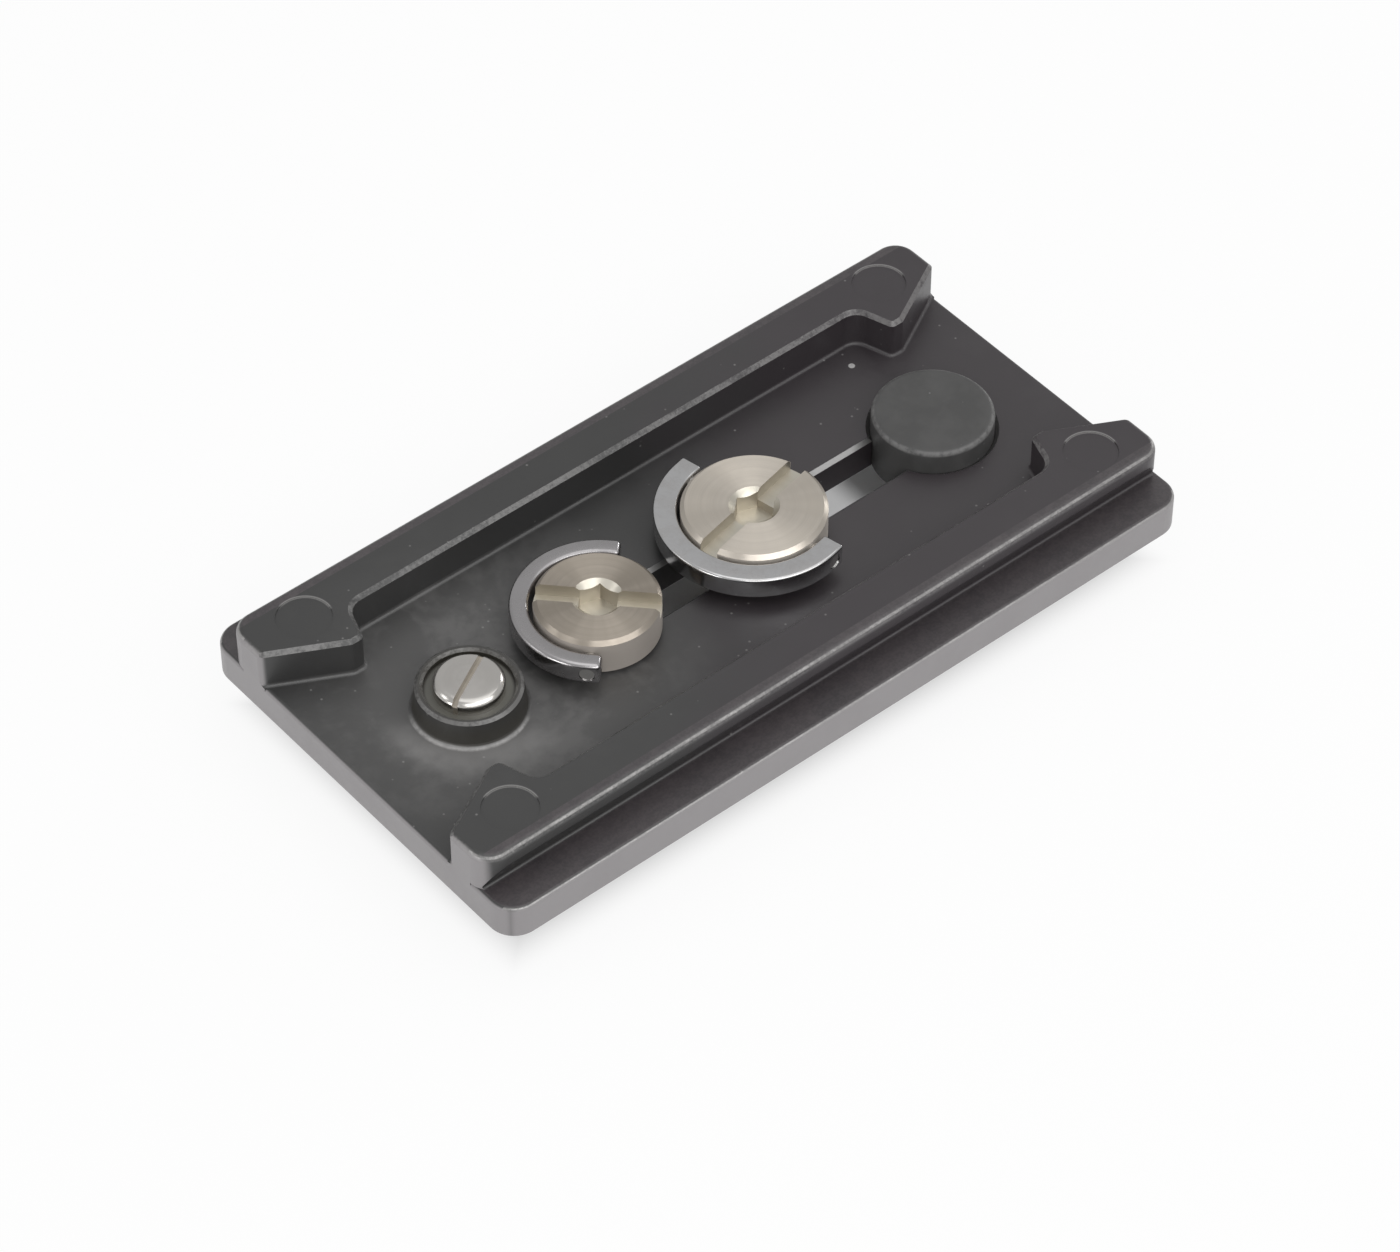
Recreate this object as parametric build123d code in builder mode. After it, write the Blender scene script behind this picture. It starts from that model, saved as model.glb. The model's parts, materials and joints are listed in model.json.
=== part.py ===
from build123d import *
import math
import os

os.makedirs("parts", exist_ok=True)

# Sliding quick release plate for a camera, modelled with its tripod side up.
# Millimetres. +X runs along the plate, +Z points to the tripod head, and z = 0 is
# the floor between the rails, level with the flanges that seat in the head.

# Cast plate
plate_length = 91.8
plate_width = 50.0
plate_thickness = 4.4
plate_corner_radius = 3.0
flange_edge_radius = 0.5
camera_edge_chamfer = 0.4

# Dovetail rails
flange_width = 3.55
rail_width = 5.85
rail_height = 4.7
rail_corner_radius = 2.6
lip_radius = 0.8
lip_height = 1.9
undercut = 1.35
lip_underside_radius = 0.4
root_radius = 0.3

# Channel between the rails, with a fin-shaped foot at each end of each rail
foot_length = 9.9
foot_reach = 4.5
foot_tip_flat = 1.5
shoulder_run = 1.5
foot_tip_radius = 0.7
shoulder_radius = 2.0
mouth_corner_radius = 1.0
wall_top_chamfer = 0.45
wall_top_flare = 45.0
wall_foot_radius = 0.4

# Round marks that the ejector pins leave on the feet
ejector_radius = 3.0
ejector_depth = 0.12
ejector_inset_x = 6.7
ejector_inset_y = 8.0

# Long slot for the camera screws, and the round hole that lets them in
slot_width = 5.7
slot_start_offset = 14.7
entry_hole_inset = 13.8
entry_hole_radius = 6.75
slot_chamfer = 0.45

# Stop screw, and the cast boss that holds it
stop_inset = 14.8
boss_radius = 6.0
boss_height = 3.2
boss_draft = 7.0
boss_foot_radius = 0.4
boss_rim_chamfer = 0.3
boss_recess_radius = 4.75
boss_recess_depth = 0.8
stop_hole_radius = 2.1
stop_hole_depth = 4.8
stop_head_radius = 3.75
stop_head_height = 1.75
stop_head_chamfer = 0.3
stop_slot_width = 0.9
stop_slot_depth = 0.8
stop_slot_angle = 29.0
stop_thread_clearance = 0.05
stop_tip_gap = 0.4

# Rubber plug in the entry hole
plug_rise = 2.55
plug_edge_radius = 0.7
plug_clearance = 0.05

# Rubber grip pads on the camera side
pad_end_margin = 5.9
pad_side_margin = 4.4
pad_hole_margin = 1.0
pad_corner_radius = 2.5
pad_thickness = 1.6
pad_recess_depth = 0.9
pad_clearance = 0.15
pad_edge_chamfer = 0.3

# Sizes that both camera screws share
washer_thickness = 0.5
washer_margin = 0.7
washer_clearance = 0.1
head_chamfer = 0.45
coin_slot_width = 2.2
coin_slot_depth = 1.5
hex_across_flats = 4.0
hex_depth = 2.6
hex_lead_in = 0.4
lead_in_angle = 45.0
pivot_height = 2.65
pin_radius = 0.8
pin_seat_depth = 2.2
pin_seat_clearance = 0.02
pin_clearance = 0.05
pin_end_gap = 0.1
ring_height = 2.6
ring_clearance = 0.15
ring_tail = 1.4
ring_corner_radius = 0.5
ring_edge_chamfer = 0.3
thread_end_gap = 0.3
thread_reach = 5.0
thread_chamfer = 0.7

# 1/4 inch camera screw
quarter_slot_offset = 2.15
quarter_head_radius = 6.7
quarter_head_top = 4.7
quarter_neck_radius = 2.35
quarter_thread_radius = 3.175
quarter_ring_width = 2.05
quarter_pivot_angle = 44.0

# 3/8 inch camera screw
screw_spacing = 21.2
three_eighth_head_radius = 7.8
three_eighth_head_top = 4.45
three_eighth_neck_radius = 2.6
three_eighth_thread_radius = 4.7625
three_eighth_ring_width = 2.5
three_eighth_pivot_angle = 102.0

# Places that several pieces take from the sizes above
half_length = plate_length / 2
half_width = plate_width / 2
camera_face_z = -plate_thickness
pad_seat_z = camera_face_z + pad_recess_depth
pad_face_z = pad_seat_z - pad_thickness
pad_inner_y = entry_hole_radius + slot_chamfer + pad_hole_margin
pad_outer_y = half_width - pad_side_margin
pad_centre_y = (pad_inner_y + pad_outer_y) / 2
pad_length = plate_length - 2 * pad_end_margin
pad_width = pad_outer_y - pad_inner_y
rail_span = plate_width - 2 * flange_width
channel_width = rail_span - 2 * rail_width
throat_width = channel_width - 2 * foot_reach
rail_root_y = rail_span / 2 - undercut
lip_underside_z = rail_height - lip_height
foot_tip_x = half_length - foot_length
boss_floor_z = boss_height - boss_recess_depth
boss_top_radius = boss_radius - boss_height * math.tan(math.radians(boss_draft))
boss_foot_edge = boss_radius + 2 * boss_foot_radius
overrun = 2.0
touch = 0.01
stop_x = stop_inset - half_length
slot_start_x = stop_x + slot_start_offset
quarter_x = slot_start_x + quarter_slot_offset
three_eighth_x = quarter_x + screw_spacing
entry_hole_x = half_length - entry_hole_inset
stop_axis = Location((stop_x, 0, 0))
entry_axis = Location((entry_hole_x, 0, 0))


def at_height(edges, height):
    return edges.filter_by_position(Axis.Z, height - touch, height + touch)


# Space between the rails, out past both ends of the plate: its rounded bottom leaves a
# fillet at the foot of each wall, and its flared mouth a chamfer along the top
with BuildPart() as channel:
    with BuildSketch(Plane.XY) as channel_outline:
        with BuildLine():
            FilletPolyline(
                (0, channel_width / 2),
                (foot_tip_x - shoulder_run, channel_width / 2),
                (foot_tip_x, throat_width / 2),
                (foot_tip_x + foot_tip_flat, throat_width / 2),
                (half_length, channel_width / 2),
                (half_length, half_width),
                radius=(shoulder_radius, foot_tip_radius, foot_tip_radius, mouth_corner_radius),
            )
            Polyline(
                (half_length, half_width),
                (half_length + overrun, half_width),
                (half_length + overrun, 0),
                (0, 0),
                (0, channel_width / 2),
            )
        make_face()
        mirror(about=Plane.YZ)
        mirror(about=Plane.XZ)
    extrude(amount=rail_height)
    fillet(at_height(channel.edges(), 0), wall_foot_radius)
    with BuildSketch(Plane.XY.offset(rail_height - wall_top_chamfer)):
        add(channel_outline.sketch)
    extrude(amount=wall_top_chamfer, taper=-wall_top_flare)

# Plate body: slab, undercut rails with feet, boss, slot, entry hole and pad recesses
with BuildPart() as plate_body:
    with BuildSketch(Plane.XY.offset(camera_face_z)):
        RectangleRounded(plate_length, plate_width, plate_corner_radius)
    extrude(amount=plate_thickness)
    fillet(at_height(plate_body.edges(), 0), flange_edge_radius)
    chamfer(at_height(plate_body.edges(), camera_face_z), camera_edge_chamfer)

    # Block that the rails are formed from, with its rounded lip and flush ends
    with BuildSketch(Plane.XY.offset(-flange_edge_radius)):
        Rectangle(plate_length, rail_span - 2 * rail_corner_radius)
        Rectangle(plate_length, channel_width - 2 * wall_foot_radius, mode=Mode.SUBTRACT)
    extrude(amount=flange_edge_radius)
    with BuildSketch(Plane.XY):
        RectangleRounded(plate_length, rail_span, rail_corner_radius)
    extrude(amount=rail_height)
    fillet(at_height(plate_body.edges(), rail_height), lip_radius)

    # Undercut that makes each outer flank a dovetail
    with BuildSketch(Plane.YZ):
        with BuildLine():
            FilletPolyline(
                (rail_span / 2, rail_height),
                (rail_span / 2, lip_underside_z),
                (rail_root_y, 0),
                (half_width + overrun, 0),
                radius=(lip_underside_radius, root_radius),
            )
            Polyline(
                (half_width + overrun, 0),
                (half_width + overrun, rail_height),
                (rail_span / 2, rail_height),
            )
        make_face()
        mirror(about=Plane.YZ)
    extrude(amount=half_length + overrun, both=True, mode=Mode.SUBTRACT)

    # Channel, which leaves a fin-shaped foot at each end of each rail
    add(channel.part, mode=Mode.SUBTRACT)

    # Boss for the stop screw, with drafted flank, filleted foot and a recess for the head
    with BuildSketch(Plane.XZ.move(stop_axis)) as boss_section:
        with BuildLine():
            FilletPolyline(
                (boss_foot_edge, 0),
                (boss_radius, 0),
                (boss_top_radius, boss_height),
                radius=boss_foot_radius,
            )
            Polyline(
                (boss_top_radius, boss_height),
                (boss_recess_radius, boss_height),
                (boss_recess_radius, boss_floor_z),
                (0, boss_floor_z),
                (0, -boss_foot_radius),
                (boss_foot_edge, -boss_foot_radius),
                (boss_foot_edge, 0),
            )
        make_face()
        chamfer(boss_section.vertices().group_by(Axis.Y)[-1], boss_rim_chamfer)
    revolve(axis=Axis((stop_x, 0, 0), (0, 0, 1)))
    with Locations(stop_axis * Location((0, 0, boss_floor_z))):
        Hole(stop_hole_radius, stop_hole_depth)

    # Slot and entry hole, chamfered on both faces
    with BuildSketch(Plane.XY.offset(camera_face_z)):
        with Locations(((slot_start_x + entry_hole_x) / 2, 0)):
            SlotCenterToCenter(entry_hole_x - slot_start_x, slot_width)
        with Locations(entry_axis):
            Circle(entry_hole_radius)
    extrude(amount=plate_thickness, mode=Mode.SUBTRACT)
    slot_rims = ShapeList()
    for face_z in (0, camera_face_z):
        slot_rims += at_height(plate_body.edges(), face_z).filter_by(
            lambda edge: abs(edge.center().Y) < entry_hole_radius + touch
            and slot_start_x - slot_width < edge.center().X < entry_hole_x + entry_hole_radius + touch
        )
    chamfer(slot_rims, slot_chamfer)

    # Ejector marks on the feet
    with BuildSketch(Plane.XY.offset(rail_height)):
        with GridLocations(2 * (half_length - ejector_inset_x), 2 * (half_width - ejector_inset_y), 2, 2):
            Circle(ejector_radius)
    extrude(amount=-ejector_depth, mode=Mode.SUBTRACT)

    # Recesses for the grip pads
    with BuildSketch(Plane.XY.offset(camera_face_z)):
        with GridLocations(0, 2 * pad_centre_y, 1, 2):
            RectangleRounded(pad_length, pad_width, pad_corner_radius)
    extrude(amount=pad_recess_depth, mode=Mode.SUBTRACT)
plate_body.part.label = "plate_body"
export_step(plate_body.part, "parts/plate_body.step")

# Grip pads, one on each side of the slot
for pad_name, side in (("near_grip_pad", -1), ("far_grip_pad", 1)):
    with BuildPart() as grip_pad:
        with BuildSketch(Plane.XY.offset(pad_seat_z)):
            with Locations((0, side * pad_centre_y)):
                RectangleRounded(
                    pad_length - 2 * pad_clearance,
                    pad_width - 2 * pad_clearance,
                    pad_corner_radius - pad_clearance,
                )
        extrude(amount=-pad_thickness)
        chamfer(at_height(grip_pad.edges(), pad_face_z), pad_edge_chamfer)
    grip_pad.part.label = pad_name
    export_step(grip_pad.part, f"parts/{pad_name}.step")

# Rubber plug that closes the entry hole
with BuildPart() as slot_plug:
    with BuildSketch(Plane.XY.offset(camera_face_z)):
        with Locations(entry_axis):
            Circle(entry_hole_radius - plug_clearance)
    extrude(amount=plate_thickness + plug_rise)
    fillet(at_height(slot_plug.edges(), plug_rise), plug_edge_radius)
    chamfer(at_height(slot_plug.edges(), camera_face_z), slot_chamfer)
slot_plug.part.label = "slot_plug"
export_step(slot_plug.part, "parts/slot_plug.step")

# Slotted stop screw in the boss
with BuildPart() as stop_screw:
    stop_head_top = boss_floor_z + stop_head_height
    stop_shank_length = stop_hole_depth - stop_tip_gap
    with BuildSketch(Plane.XY.offset(boss_floor_z)):
        with Locations(stop_axis):
            Circle(stop_head_radius)
    extrude(amount=stop_head_height)
    chamfer(at_height(stop_screw.edges(), stop_head_top), stop_head_chamfer)
    with BuildSketch(Plane.XY.offset(boss_floor_z)):
        with Locations(stop_axis):
            Circle(stop_hole_radius - stop_thread_clearance)
    extrude(amount=-stop_shank_length)
    with BuildSketch(Plane.XY.offset(stop_head_top)):
        with Locations(stop_axis):
            Rectangle(2 * stop_head_radius, stop_slot_width, rotation=stop_slot_angle)
    extrude(amount=-stop_slot_depth, mode=Mode.SUBTRACT)
stop_screw.part.label = "stop_screw"
export_step(stop_screw.part, "parts/stop_screw.step")


# Camera screw with its washer, folding D-ring and pivot pins.
# The frame of a screw has x along the pivot axis and y towards the crown of the ring.
def make_camera_screw(name, x, head_radius, head_top, neck_radius, thread_radius, ring_width, pivot_angle):
    along_pivot = Vector(1, 0, 0).rotate(Axis.Z, pivot_angle)
    screw_frame = Plane((x, 0, 0), x_dir=along_pivot)
    pivot_frames = [Plane((x, 0, pivot_height), z_dir=along_pivot * side) for side in (1, -1)]
    neck_end_z = camera_face_z - thread_end_gap
    tip_z = pad_face_z - thread_reach
    socket_radius = hex_across_flats / 2
    lead_in_radius = hex_across_flats / math.sqrt(3) + hex_lead_in
    pin_seat_radius = head_radius - pin_seat_depth

    # The ring swings over the head, so its bore clears the far corner of the rim
    ring_inner_radius = math.hypot(head_radius, head_top - pivot_height) + ring_clearance
    ring_outer_radius = ring_inner_radius + ring_width

    # Screw: head with coin slot, hex socket and pivot holes, then neck and thread core
    with BuildPart() as camera_screw:
        with BuildSketch(screw_frame.offset(washer_thickness)):
            Circle(head_radius)
        extrude(amount=head_top - washer_thickness)
        chamfer(at_height(camera_screw.edges(), head_top), head_chamfer)
        with BuildSketch(screw_frame.offset(neck_end_z)):
            Circle(neck_radius)
        extrude(amount=washer_thickness - neck_end_z)
        with BuildSketch(screw_frame.offset(tip_z)):
            Circle(thread_radius)
        extrude(amount=neck_end_z - tip_z)
        chamfer(at_height(camera_screw.edges(), tip_z), thread_chamfer)
        with BuildSketch(screw_frame.offset(head_top)):
            Rectangle(coin_slot_width, 2 * head_radius)
        extrude(amount=-coin_slot_depth, mode=Mode.SUBTRACT)
        with BuildSketch(screw_frame.offset(head_top)):
            RegularPolygon(socket_radius, 6, major_radius=False)
        extrude(amount=-hex_depth, mode=Mode.SUBTRACT)
        with BuildSketch(screw_frame.offset(head_top)):
            Circle(lead_in_radius)
        extrude(amount=-(lead_in_radius - socket_radius), taper=lead_in_angle, mode=Mode.SUBTRACT)
        for pivot_frame in pivot_frames:
            with BuildSketch(pivot_frame.offset(pin_seat_radius)):
                Circle(pin_radius + pin_seat_clearance)
            extrude(amount=pin_seat_depth, mode=Mode.SUBTRACT)
    camera_screw.part.label = f"{name}_screw"
    export_step(camera_screw.part, f"parts/{name}_screw.step")

    # Washer that the head turns on, carried along the slot with the screw
    with BuildPart() as washer:
        with BuildSketch(screw_frame):
            Circle(head_radius - washer_margin)
            Circle(thread_radius + washer_clearance, mode=Mode.SUBTRACT)
        extrude(amount=washer_thickness)
    washer.part.label = f"{name}_washer"
    export_step(washer.part, f"parts/{name}_washer.step")

    # D-ring: half a ring with two straight legs, drilled for the pivot pins
    with BuildPart() as d_ring:
        with BuildSketch(screw_frame.offset(pivot_height - ring_height / 2)):
            Circle(ring_outer_radius)
            Rectangle(
                2 * ring_outer_radius,
                ring_outer_radius,
                align=(Align.CENTER, Align.MAX),
                mode=Mode.SUBTRACT,
            )
            Rectangle(2 * ring_outer_radius, ring_tail, align=(Align.CENTER, Align.MAX))
            Circle(ring_inner_radius, mode=Mode.SUBTRACT)
            Rectangle(
                2 * ring_inner_radius,
                ring_outer_radius,
                align=(Align.CENTER, Align.MAX),
                mode=Mode.SUBTRACT,
            )
        extrude(amount=ring_height)
        crown_axis = Axis(screw_frame.origin, screw_frame.y_dir)
        fillet(d_ring.edges().filter_by(Axis.Z).group_by(crown_axis)[0], ring_corner_radius)
        chamfer(d_ring.edges().group_by(Axis.Z)[0] + d_ring.edges().group_by(Axis.Z)[-1], ring_edge_chamfer)
        with BuildSketch(pivot_frames[0]):
            Circle(pin_radius + pin_clearance)
        extrude(amount=ring_outer_radius + overrun, both=True, mode=Mode.SUBTRACT)
    d_ring.part.label = f"{name}_d_ring"
    export_step(d_ring.part, f"parts/{name}_d_ring.step")

    # Pivot pins, seated in the head and free in the legs of the ring
    with BuildPart() as pivot_pins:
        for pivot_frame in pivot_frames:
            with BuildSketch(pivot_frame.offset(pin_seat_radius)):
                Circle(pin_radius)
            extrude(amount=ring_outer_radius - pin_end_gap - pin_seat_radius)
    pivot_pins.part.label = f"{name}_pivot_pins"
    export_step(pivot_pins.part, f"parts/{name}_pivot_pins.step")


make_camera_screw(
    "quarter",
    quarter_x,
    quarter_head_radius,
    quarter_head_top,
    quarter_neck_radius,
    quarter_thread_radius,
    quarter_ring_width,
    quarter_pivot_angle,
)
make_camera_screw(
    "three_eighth",
    three_eighth_x,
    three_eighth_head_radius,
    three_eighth_head_top,
    three_eighth_neck_radius,
    three_eighth_thread_radius,
    three_eighth_ring_width,
    three_eighth_pivot_angle,
)
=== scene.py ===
import json
import math
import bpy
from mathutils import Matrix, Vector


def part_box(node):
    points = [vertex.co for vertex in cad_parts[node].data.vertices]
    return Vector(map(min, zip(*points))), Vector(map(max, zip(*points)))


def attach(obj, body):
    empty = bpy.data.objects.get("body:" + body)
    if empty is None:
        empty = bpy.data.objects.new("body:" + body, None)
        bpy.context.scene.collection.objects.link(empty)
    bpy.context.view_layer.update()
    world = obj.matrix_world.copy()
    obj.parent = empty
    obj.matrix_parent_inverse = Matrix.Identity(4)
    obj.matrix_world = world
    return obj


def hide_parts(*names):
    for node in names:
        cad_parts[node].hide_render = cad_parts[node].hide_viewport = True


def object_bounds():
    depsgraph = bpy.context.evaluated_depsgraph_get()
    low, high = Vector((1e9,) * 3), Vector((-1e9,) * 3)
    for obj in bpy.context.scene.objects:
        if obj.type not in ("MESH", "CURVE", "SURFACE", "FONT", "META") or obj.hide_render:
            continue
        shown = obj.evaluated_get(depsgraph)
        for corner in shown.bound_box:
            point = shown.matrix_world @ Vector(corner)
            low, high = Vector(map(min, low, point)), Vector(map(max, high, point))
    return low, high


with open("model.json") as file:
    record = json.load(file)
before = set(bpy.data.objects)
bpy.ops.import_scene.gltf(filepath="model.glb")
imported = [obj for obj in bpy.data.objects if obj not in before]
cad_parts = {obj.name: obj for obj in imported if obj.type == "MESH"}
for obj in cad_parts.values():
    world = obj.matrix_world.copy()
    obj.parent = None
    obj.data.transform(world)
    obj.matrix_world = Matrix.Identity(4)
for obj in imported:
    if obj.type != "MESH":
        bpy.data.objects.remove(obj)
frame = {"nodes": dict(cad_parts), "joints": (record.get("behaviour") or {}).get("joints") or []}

from types import SimpleNamespace

import bmesh
import bpy
from mathutils import Matrix, Vector

mm = 0.001
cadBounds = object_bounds()
nodes = frame["nodes"]
joints = {joint["name"]: joint for joint in frame["joints"]}
screwNames = ("quarter", "three_eighth")
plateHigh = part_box("plate_body")[1]
stopLow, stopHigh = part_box("stop_screw")
stopCentre = tuple((stopLow + stopHigh) / 2 / mm)
bossSpot = (stopCentre[0], stopCentre[1], 0.0)  # the boss stands round the stop screw
print("frame:", len(nodes), "CAD nodes loaded")


# Small helpers for node trees

def feed(tree, socket, value):
    if isinstance(value, bpy.types.NodeSocket):
        tree.links.new(value, socket)
    else:
        socket.default_value = value


def put(tree, kind, sockets=None, **settings):
    node = tree.nodes.new(kind)
    for name, value in settings.items():
        setattr(node, name, value)
    for name, value in (sockets or {}).items():
        feed(tree, node.inputs[name], value)
    return node


def calc(tree, operation, *values):
    return put(tree, "ShaderNodeMath", dict(enumerate(values)), operation=operation).outputs[0]


def product(tree, first, *others):
    for value in others:
        first = calc(tree, "MULTIPLY", first, value)
    return first


def weigh(tree, first, second, share):
    return calc(tree, "ADD", product(tree, first, share), product(tree, second, 1 - share))


def vector(tree, operation, *values):
    node = put(tree, "ShaderNodeVectorMath", dict(enumerate(values)), operation=operation)
    return node.outputs["Value" if operation in ("DISTANCE", "LENGTH", "DOT_PRODUCT") else "Vector"]


def axesOf(tree, value):
    return put(tree, "ShaderNodeSeparateXYZ", {0: value}).outputs


def spread(tree, value, low, high, outLow=0.0, outHigh=1.0):
    sockets = {"Value": value, "From Min": low, "From Max": high, "To Min": outLow, "To Max": outHigh}
    return put(tree, "ShaderNodeMapRange", sockets, interpolation_type="SMOOTHSTEP").outputs["Result"]


def blendColour(tree, factor, first, second):
    node = put(tree, "ShaderNodeMix", data_type="RGBA")
    colours = [socket for socket in node.inputs if socket.type == "RGBA"]
    for socket, value in zip([node.inputs[0], *colours], [factor, first, second]):
        feed(tree, socket, value)
    return next(socket for socket in node.outputs if socket.type == "RGBA")


def noise(tree, place, scale, detail=3.0, roughness=0.55):
    sockets = {"Vector": place, "Scale": scale, "Detail": detail, "Roughness": roughness}
    return put(tree, "ShaderNodeTexNoise", sockets).outputs["Fac"]


def grey(level, warm=0.0):
    return (level * (1 + warm), level, level * (1 - warm), 1.0)


def newGroup(name, inputs, outputs):
    tree = bpy.data.node_groups.new(name, "ShaderNodeTree")
    for label, kind in inputs.items():
        tree.interface.new_socket(label, in_out="INPUT", socket_type="NodeSocket" + kind)
    for label, kind in outputs.items():
        tree.interface.new_socket(label, in_out="OUTPUT", socket_type="NodeSocket" + kind)
    return tree, tree.nodes.new("NodeGroupInput").outputs, tree.nodes.new("NodeGroupOutput").inputs


def useGroup(tree, group, **sockets):
    return put(tree, "ShaderNodeGroup", sockets, node_tree=group).outputs


# Shared effects, as node groups that give masks, heights and places

def millimetresGroup():
    tree, _, out = newGroup("millimetres", {}, {"Place": "Vector"})
    place = put(tree, "ShaderNodeTexCoord").outputs["Object"]
    scaled = put(tree, "ShaderNodeVectorMath", {0: place, "Scale": 1 / mm}, operation="SCALE")
    feed(tree, out["Place"], scaled.outputs["Vector"])
    return tree


grainLook = {"coarseScale": 0.27, "fineShare": 0.65, "dot": (0.16, 0.06), "chosen": 0.86}


def castGrainGroup():
    # fine pebble of a coated casting, and the few light specks in it
    tree, given, out = newGroup(
        "castGrain",
        {"Place": "Vector", "Scale": "Float", "Specks": "Float"},
        {"Height": "Float", "Specks": "Float"},
    )
    fine = noise(tree, given["Place"], given["Scale"], detail=4.0, roughness=0.6)
    coarseScale = product(tree, given["Scale"], grainLook["coarseScale"])
    coarse = noise(tree, given["Place"], coarseScale, detail=2.0)
    feed(tree, out["Height"], weigh(tree, fine, coarse, grainLook["fineShare"]))
    sockets = {"Vector": given["Place"], "Scale": given["Specks"]}
    cells = put(tree, "ShaderNodeTexVoronoi", sockets).outputs
    dot = spread(tree, cells["Distance"], *grainLook["dot"])
    drawn = put(tree, "ShaderNodeSeparateColor", {0: cells["Color"]}).outputs[0]
    feed(tree, out["Specks"], product(tree, dot, calc(tree, "GREATER_THAN", drawn, grainLook["chosen"])))
    return tree


edgeWearAndSheenLook = {"tiltFrom": (0.12, 0.45), "tiltTo": (0.985, 0.8), "patchScale": 0.16, "fineShare": 0.6,
            "rubbedAndSheen": (0.5, 0.7)}


def edgeWearAndSheenGroup():
    # a mask where the surface tilts between flat and upright, broken up by noise: rubbed wear, and painted
    # highlight on rounded edges and rims
    tree, given, out = newGroup(
        "edgeWearAndSheen", {"Place": "Vector", "Scale": "Float", "Reach": "Float"}, {"WearAndSheen": "Float"}
    )
    facing = put(tree, "ShaderNodeNewGeometry").outputs["Normal"]
    rise = calc(tree, "ABSOLUTE", axesOf(tree, facing)["Z"])
    fine = noise(tree, given["Place"], given["Scale"], detail=5.0, roughness=0.7)
    patch = noise(tree, given["Place"], edgeWearAndSheenLook["patchScale"], detail=2.0)
    level = calc(tree, "ADD", weigh(tree, fine, patch, edgeWearAndSheenLook["fineShare"]), given["Reach"])
    edgeMask = product(
        tree,
        spread(tree, rise, *edgeWearAndSheenLook["tiltFrom"]),
        spread(tree, rise, *edgeWearAndSheenLook["tiltTo"]),
        spread(tree, level, *edgeWearAndSheenLook["rubbedAndSheen"]),
    )
    feed(tree, out["WearAndSheen"], edgeMask)
    return tree


smudgeLook = {"bendScale": 0.08, "bend": (6.0, 6.0, 6.0), "fineScale": 5.0, "broadShare": 0.7,
              "levels": (0.4, 0.66)}


def smudgeGroup():
    # soft handling marks at two scales
    tree, given, out = newGroup("smudge", {"Place": "Vector", "Scale": "Float"}, {"Mark": "Float"})
    sockets = {"Vector": given["Place"], "Scale": smudgeLook["bendScale"], "Detail": 2.0}
    bent = put(tree, "ShaderNodeTexNoise", sockets).outputs["Color"]
    pushed = vector(tree, "MULTIPLY_ADD", bent, smudgeLook["bend"], given["Place"])
    broad = noise(tree, pushed, given["Scale"])
    fine = noise(tree, pushed, product(tree, given["Scale"], smudgeLook["fineScale"]), detail=5.0)
    level = weigh(tree, broad, fine, smudgeLook["broadShare"])
    feed(tree, out["Mark"], spread(tree, level, *smudgeLook["levels"]))
    return tree


turningLook = {"shadeScale": 0.22, "paintedBeamScale": 1.7, "paintedBeam": (0.36, 0.64)}


def turningGroup():
    # tool marks that run round an upright axis, and painted light and dark beams of the sheen that they
    # throw
    tree, given, out = newGroup(
        "turning",
        {"Place": "Vector", "Centre": "Vector", "Pitch": "Float"},
        {"Height": "Float", "Shade": "Float", "PaintedBeam": "Float"},
    )
    flat = vector(tree, "MULTIPLY", vector(tree, "SUBTRACT", given["Place"], given["Centre"]), (1, 1, 0))
    turns = calc(tree, "DIVIDE", vector(tree, "LENGTH", flat), given["Pitch"])
    along = put(tree, "ShaderNodeCombineXYZ", {"X": turns}).outputs[0]
    feed(tree, out["Height"], noise(tree, along, 1.0, detail=4.0, roughness=0.75))
    feed(tree, out["Shade"], noise(tree, along, turningLook["shadeScale"], detail=2.0))
    paintedBeam = noise(tree, vector(tree, "NORMALIZE", flat), turningLook["paintedBeamScale"], detail=2.0)
    feed(tree, out["PaintedBeam"], spread(tree, paintedBeam, *turningLook["paintedBeam"]))
    return tree


millimetres = millimetresGroup()
castGrain = castGrainGroup()
edgeWearAndSheen = edgeWearAndSheenGroup()
smudge = smudgeGroup()
turning = turningGroup()
print("node groups: 5 shared effects")


# Materials

def newMaterial(name):
    material = bpy.data.materials.new(name)
    material.use_nodes = True
    tree = material.node_tree
    shader = tree.nodes["Principled BSDF"].inputs
    place = useGroup(tree, millimetres)["Place"]
    return material, tree, shader, place


def addBump(tree, shader, height, strength, depth):
    sockets = {"Height": height, "Strength": strength, "Distance": depth * mm}
    feed(tree, shader["Normal"], put(tree, "ShaderNodeBump", sockets).outputs["Normal"])


# Casting: satin black coat, with lengths in millimetres and turns as shares of the normal

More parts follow.
